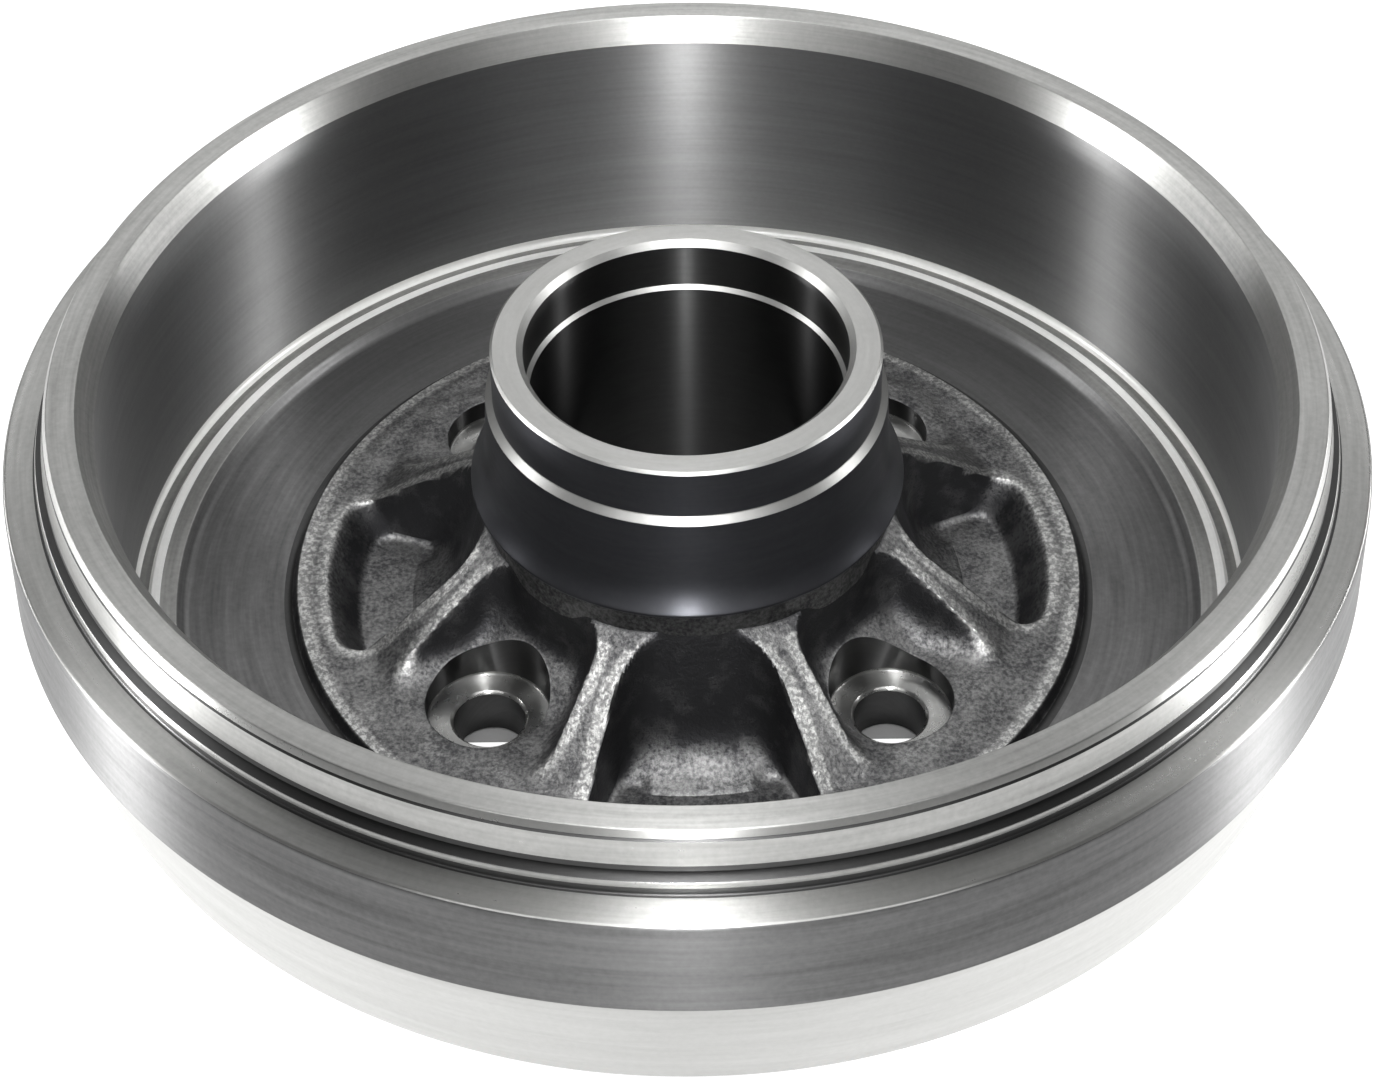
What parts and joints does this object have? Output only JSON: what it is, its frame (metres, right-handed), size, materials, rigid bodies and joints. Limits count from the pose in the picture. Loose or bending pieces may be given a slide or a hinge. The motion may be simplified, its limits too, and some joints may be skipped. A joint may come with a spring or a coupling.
{
  "type": "brake drum with integral wheel hub",
  "caption": "Rear brake drum with integral wheel hub: turned cast-iron ring, flanged rim, ribbed web with bolt seats and a bearing hub.",
  "frame": {"origin": "centre of the wheel mounting face on the wheel axis", "axes": "+Z along the wheel axis, from the wheel mounting face to the open mouth; +X and +Y through two web pockets"},
  "size_m": [0.2382, 0.2382, 0.0658],
  "materials": {
    "iron": "turned bare on the ring, rim and hub, as-cast satin on the web"
  },
  "bodies": {
    "root": {"brake_drum": "iron"}
  },
  "joints": []
}
